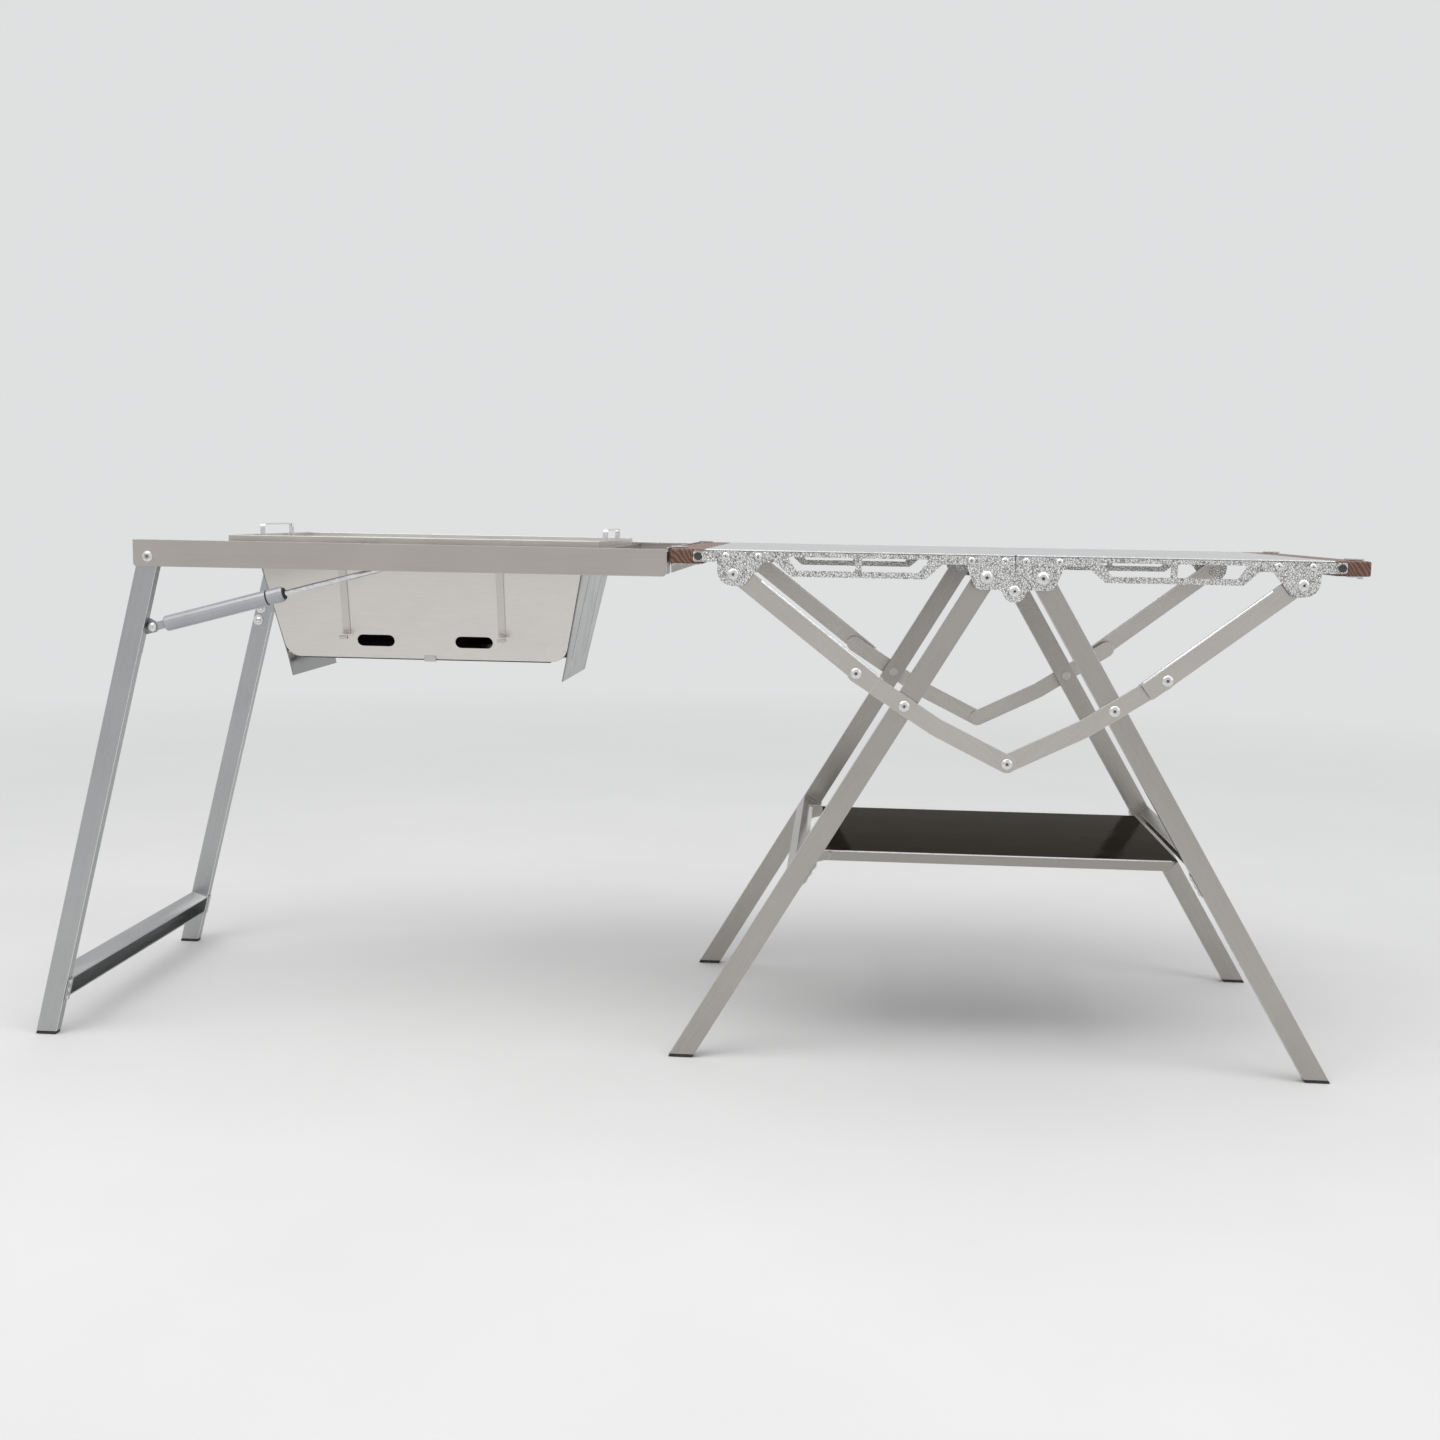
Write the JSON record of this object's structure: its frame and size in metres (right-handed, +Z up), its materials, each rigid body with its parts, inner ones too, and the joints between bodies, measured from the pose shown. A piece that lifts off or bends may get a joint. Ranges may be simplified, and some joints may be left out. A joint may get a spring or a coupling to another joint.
{
  "type": "folding grill table",
  "caption": "Folding camp table on crossed legs with linked braces, a lower tray and a hung grill extension with its own folding legs",
  "frame": {"origin": "on the floor, below the middle of the whole length and depth", "axes": "+X from the grill extension to the folding table, +Y from the front to the rear, +Z up"},
  "size_m": [1.2614, 0.3768, 0.503],
  "materials": {
    "leg_steel": "brushed along the tube, warm grey",
    "pale_steel": "brushed along the tube, cool grey",
    "brace_steel": "fine brushed",
    "rail_steel": "brushed, warm beige grey",
    "hammered_steel": "bright hammered texture",
    "top_steel": "near-mirror sheet",
    "tray_steel": "dark mirror sheet",
    "firebox_steel": "satin, warm light grey",
    "end_steel": "dark mirror sheet",
    "grate_steel": "smooth sheet",
    "clamp_steel": "polished",
    "cylinder_grey": "light grey satin",
    "rod_chrome": "polished rod",
    "foot_rubber": "matt black",
    "walnut": "oiled, diagonal end grain"
  },
  "bodies": {
    "left_leg_frame": {"left_leg_front": "leg_steel", "left_leg_rear": "leg_steel", "left_crossbar": "leg_steel", "left_foot_front": "foot_rubber", "left_foot_rear": "foot_rubber"},
    "left_top": {"left_top_sheet": "top_steel", "left_side_plate_front": "hammered_steel", "left_side_plate_rear": "hammered_steel", "left_wood_bar": "walnut", "left_bar_clamp_front": "clamp_steel", "left_bar_clamp_rear": "clamp_steel"},
    "right_top": {"right_top_sheet": "top_steel", "right_side_plate_front": "hammered_steel", "right_side_plate_rear": "hammered_steel", "right_wood_bar": "walnut", "right_bar_clamp_front": "clamp_steel", "right_bar_clamp_rear": "clamp_steel"},
    "right_leg_frame": {"right_leg_front": "leg_steel", "right_leg_rear": "leg_steel", "right_crossbar": "leg_steel", "right_foot_front": "foot_rubber", "right_foot_rear": "foot_rubber"},
    "left_links": {"left_link_front": "brace_steel", "left_link_rear": "brace_steel"},
    "right_links": {"right_link_front": "brace_steel", "right_link_rear": "brace_steel"},
    "left_braces": {"left_brace_front": "brace_steel", "left_brace_rear": "brace_steel"},
    "right_braces": {"right_brace_front": "brace_steel", "right_brace_rear": "brace_steel"},
    "tray": {"lower_tray": "tray_steel"},
    "extension_frame": {"extension_rail_front": "rail_steel", "extension_rail_rear": "rail_steel", "extension_hook_plate": "rail_steel", "grill_support_left": "rail_steel", "grill_support_right": "rail_steel"},
    "extension_legs": {"extension_leg_front": "pale_steel", "extension_leg_rear": "pale_steel", "extension_crossbar": "pale_steel", "extension_foot_front": "foot_rubber", "extension_foot_rear": "foot_rubber", "gas_spring_bracket_front": "pale_steel", "gas_spring_bracket_rear": "pale_steel"},
    "gas_cylinders": {"gas_cylinder_front": "cylinder_grey", "gas_cylinder_rear": "cylinder_grey"},
    "gas_rods": {"gas_rod_front": "rod_chrome", "gas_rod_rear": "rod_chrome"},
    "grill": {"grill_top_frame": "firebox_steel", "firebox_front": "firebox_steel", "firebox_rear": "firebox_steel", "firebox_end_left": "end_steel", "firebox_end_right": "end_steel", "firebox_floor": "firebox_steel", "hanger_strap_left_front": "firebox_steel", "hanger_strap_right_front": "firebox_steel", "hanger_strap_left_rear": "firebox_steel", "hanger_strap_right_rear": "firebox_steel"},
    "grate": {"cooking_grate": "grate_steel", "grate_handle_left": "clamp_steel", "grate_handle_right": "clamp_steel"}
  },
  "joints": [
    {"name": "table_fold", "type": "hinge", "parent": "left_leg_frame", "child": "left_top", "pos_m": [0.28235, 0, 0.467], "axis": [0, -1, 0], "range_deg": [0, 57.99]},
    {"name": "top_hinge", "type": "hinge", "parent": "left_top", "child": "right_top", "pos_m": [0.30765, 0, 0.455], "axis": [0, -1, 0], "range_deg": [-177.1, 0]},
    {"name": "right_leg_hinge", "type": "hinge", "parent": "right_top", "child": "right_leg_frame", "pos_m": [0.33295, 0, 0.467], "axis": [0, -1, 0], "range_deg": [0, 58.1]},
    {"name": "left_link_pivot", "type": "hinge", "parent": "left_leg_frame", "child": "left_links", "pos_m": [0.21135, 0, 0.3464], "axis": [0, -1, 0], "range_deg": [-86, 0]},
    {"name": "right_link_pivot", "type": "hinge", "parent": "right_leg_frame", "child": "right_links", "pos_m": [0.40395, 0, 0.3464], "axis": [0, -1, 0], "range_deg": [0, 86]},
    {"name": "left_brace_pivot", "type": "hinge", "parent": "left_top", "child": "left_braces", "pos_m": [0.05095, 0, 0.4655], "axis": [0, -1, 0], "range_deg": [0, 38.2]},
    {"name": "right_brace_pivot", "type": "hinge", "parent": "right_top", "child": "right_braces", "pos_m": [0.56435, 0, 0.4655], "axis": [0, -1, 0], "range_deg": [-38.2, 0]},
    {"name": "tray_hinge", "type": "hinge", "parent": "left_leg_frame", "child": "tray", "pos_m": [0.14265, 0, 0.1925], "axis": [0, -1, 0], "range_deg": [-127.7, 0]},
    {"name": "extension_lift", "type": "slide", "parent": "left_leg_frame", "child": "extension_frame", "axis": [0, 0, 1], "range_m": [0, 0.1]},
    {"name": "extension_leg_fold", "type": "hinge", "parent": "extension_frame", "child": "extension_legs", "pos_m": [-0.50355, 0, 0.4714], "axis": [0, -1, 0], "range_deg": [0, 92]},
    {"name": "gas_spring_swing", "type": "hinge", "parent": "extension_legs", "child": "gas_cylinders", "pos_m": [-0.50377, 0, 0.40397], "axis": [0, -1, 0], "range_deg": [-108, 0]},
    {"name": "gas_rod_slide", "type": "slide", "parent": "gas_cylinders", "child": "gas_rods", "axis": [0.9658, 0, 0.2591], "range_m": [-0.0765, 0]},
    {"name": "grill_lift", "type": "slide", "parent": "extension_frame", "child": "grill", "axis": [0, 0, 1], "range_m": [0, 0.15]},
    {"name": "grate_lift", "type": "slide", "parent": "grill", "child": "grate", "axis": [0, 0, 1], "range_m": [0, 0.08]}
  ],
  "couplings": [
    {"joint": "top_hinge", "follows": "table_fold", "ratio": -3.0523},
    {"joint": "right_leg_hinge", "follows": "table_fold", "ratio": 1},
    {"joint": "left_link_pivot", "follows": "table_fold", "ratio": -1.4779},
    {"joint": "right_link_pivot", "follows": "table_fold", "ratio": 1.4779},
    {"joint": "left_brace_pivot", "follows": "table_fold", "ratio": 0.65641},
    {"joint": "right_brace_pivot", "follows": "table_fold", "ratio": -0.65641},
    {"joint": "tray_hinge", "follows": "table_fold", "ratio": -2.2},
    {"joint": "gas_spring_swing", "follows": "extension_leg_fold", "ratio": -1.173},
    {"joint": "gas_rod_slide", "follows": "extension_leg_fold", "m_per_rad": -0.047572}
  ]
}
